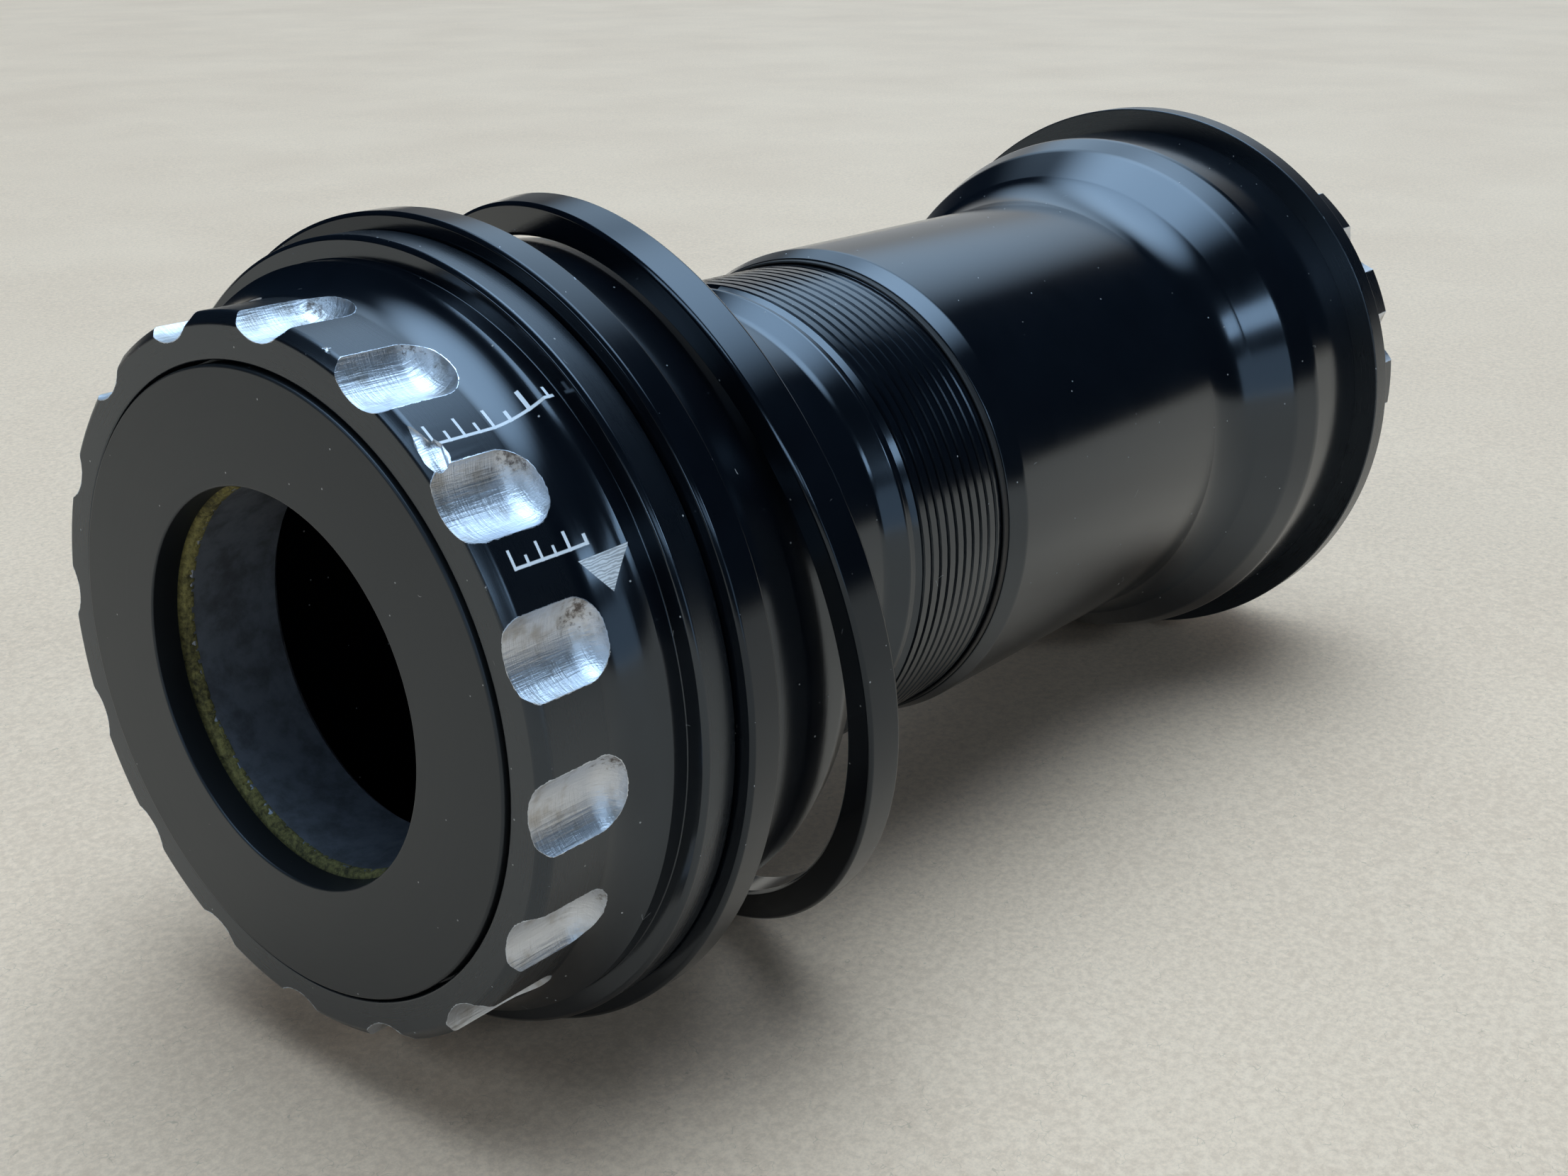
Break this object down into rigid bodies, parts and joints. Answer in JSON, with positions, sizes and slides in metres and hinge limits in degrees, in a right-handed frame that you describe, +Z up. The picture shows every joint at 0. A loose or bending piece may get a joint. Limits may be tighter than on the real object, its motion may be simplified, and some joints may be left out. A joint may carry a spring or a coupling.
{
  "type": "bottom bracket",
  "caption": "Bicycle bottom bracket with two cups that thread together through a press-fit shell, outboard bearings, dust covers and shell spacers.",
  "frame": {"origin": "on the spindle axis, at the middle of the tube cup's press-fit band", "axes": "+X along the spindle axis from the sleeve cup towards the tube cup, +Z up"},
  "size_m": [0.1107, 0.0527, 0.052],
  "materials": {
    "black_anodised": "satin black anodised, with fine turning lines; bare bright metal in the tool notches",
    "spacer_black": "glossy black anodised, brushed round",
    "cover_black": "flat matt black anodised",
    "bearing_steel": "ground bearing steel with an oil film",
    "ball_steel": "polished bearing balls",
    "cage_nylon": "moulded ball cage",
    "seal_rubber": "black nitrile rubber",
    "wiper_felt": "grease-soaked felt, yellowish"
  },
  "bodies": {
    "tube_side": {"tube_cup": "black_anodised", "tube_mouth_o_ring": "seal_rubber", "tube_side_outer_race": "bearing_steel", "tube_side_outer_seal": "seal_rubber", "tube_side_inner_seal": "seal_rubber"},
    "tube_side_rotor": {"tube_side_dust_cover": "cover_black", "tube_side_wiper_ring": "wiper_felt", "tube_side_inner_race": "bearing_steel"},
    "tube_side_ball_train": {"tube_side_balls": "ball_steel", "tube_side_cage": "cage_nylon"},
    "spacer_carriage": {"flange_spacer": "spacer_black"},
    "sleeve_side": {"sleeve_cup": "black_anodised", "sleeve_side_outer_race": "bearing_steel", "sleeve_side_outer_seal": "seal_rubber", "sleeve_side_inner_seal": "seal_rubber"},
    "sleeve_side_rotor": {"sleeve_side_dust_cover": "cover_black", "sleeve_side_wiper_ring": "wiper_felt", "sleeve_side_inner_race": "bearing_steel"},
    "sleeve_side_ball_train": {"sleeve_side_balls": "ball_steel", "sleeve_side_cage": "cage_nylon"},
    "loose_ring": {"loose_spacer": "spacer_black"}
  },
  "joints": [
    {"name": "thread_travel", "type": "slide", "parent": "tube_side", "child": "spacer_carriage", "axis": [1, 0, 0], "range_m": [-0.0062, 0.0096]},
    {"name": "thread_turn", "type": "hinge", "parent": "spacer_carriage", "child": "sleeve_side", "pos_m": [0, 0, 0], "axis": [1, 0, 0], "range_deg": [-2160, 3384]},
    {"name": "loose_spacer_slide", "type": "slide", "parent": "spacer_carriage", "child": "loose_ring", "axis": [1, 0, 0], "range_m": [0, 0.038]},
    {"name": "tube_side_bearing_spin", "type": "hinge", "parent": "tube_side", "child": "tube_side_rotor", "pos_m": [0, 0, 0], "axis": [1, 0, 0], "continuous": true},
    {"name": "tube_side_ball_train_spin", "type": "hinge", "parent": "tube_side", "child": "tube_side_ball_train", "pos_m": [0, 0, 0], "axis": [1, 0, 0], "continuous": true},
    {"name": "sleeve_side_bearing_spin", "type": "hinge", "parent": "sleeve_side", "child": "sleeve_side_rotor", "pos_m": [0, 0, 0], "axis": [1, 0, 0], "continuous": true},
    {"name": "sleeve_side_ball_train_spin", "type": "hinge", "parent": "sleeve_side", "child": "sleeve_side_ball_train", "pos_m": [0, 0, 0], "axis": [1, 0, 0], "continuous": true}
  ],
  "couplings": [
    {"joint": "thread_travel", "follows": "thread_turn", "m_per_rad": 0.00015915},
    {"joint": "tube_side_ball_train_spin", "follows": "tube_side_bearing_spin", "ratio": 0.4426},
    {"joint": "sleeve_side_ball_train_spin", "follows": "sleeve_side_bearing_spin", "ratio": 0.4426}
  ]
}
